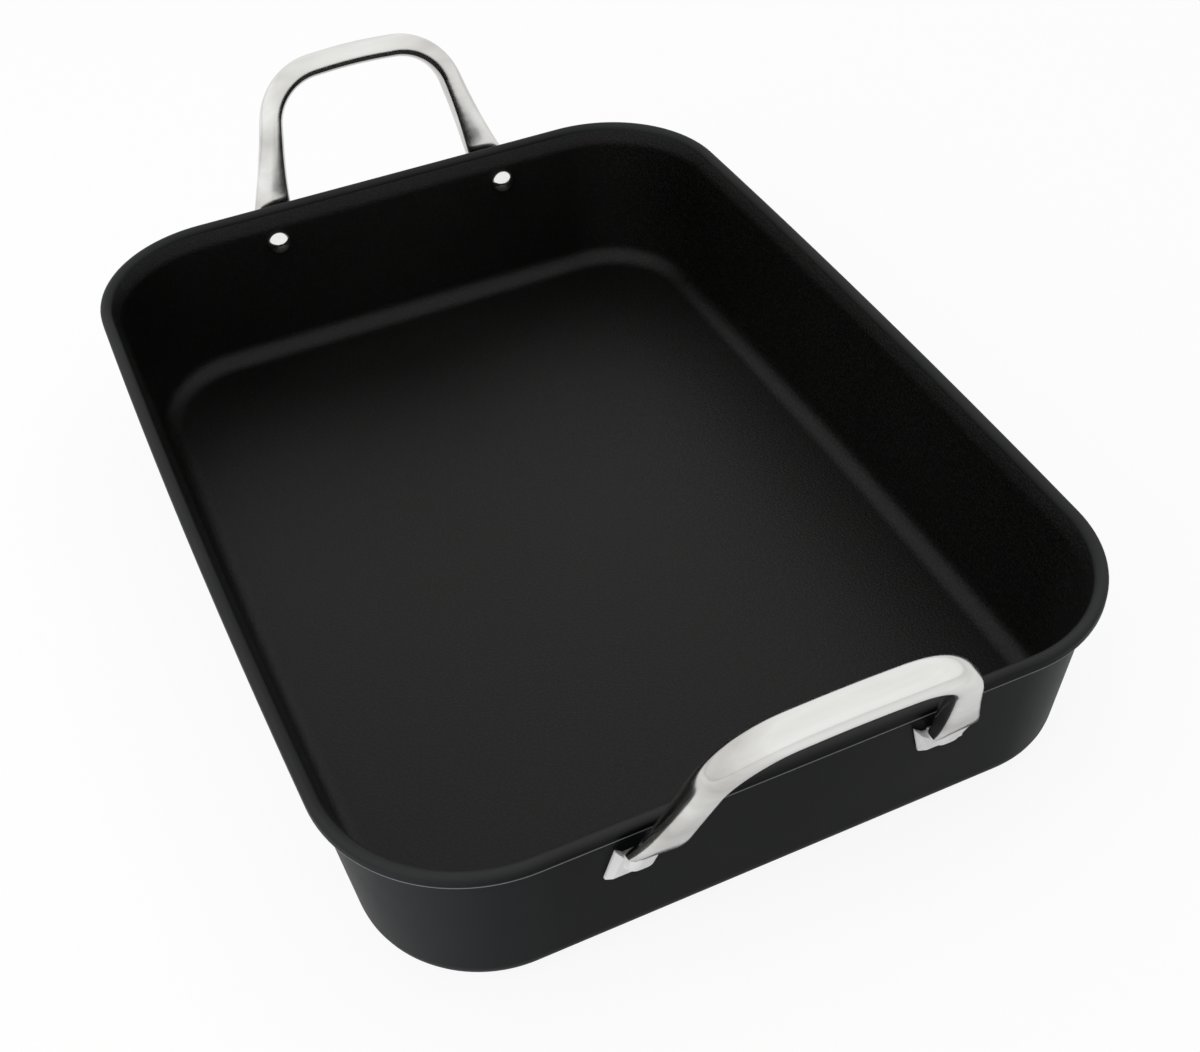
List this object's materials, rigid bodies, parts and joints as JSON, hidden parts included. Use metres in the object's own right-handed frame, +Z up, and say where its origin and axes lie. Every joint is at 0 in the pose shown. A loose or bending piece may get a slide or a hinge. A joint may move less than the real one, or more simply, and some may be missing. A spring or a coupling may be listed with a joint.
{
  "type": "roasting pan",
  "caption": "Deep oblong roasting pan in dark hard-anodised metal, with a rolled rim and an upright looped cast handle riveted to each end.",
  "frame": {"origin": "middle of the flat underside, on the plane the pan rests on", "axes": "+X along the pan towards the end nearest the viewer, through both handles, +Y towards the long side on the right of the picture, +Z up out of the pan's mouth"},
  "size_m": [0.4686, 0.305, 0.1336],
  "materials": {
    "anodised_pan": "satin charcoal hard-anodised outside, matt black release coating inside",
    "cast_handle": "satin-polished casting",
    "polished_rivet": "polished"
  },
  "bodies": {
    "root": {"pan_body": "anodised_pan", "handle_right": "cast_handle", "handle_left": "cast_handle", "rivet_right_front": "polished_rivet", "rivet_right_back": "polished_rivet", "rivet_left_front": "polished_rivet", "rivet_left_back": "polished_rivet"}
  },
  "joints": []
}
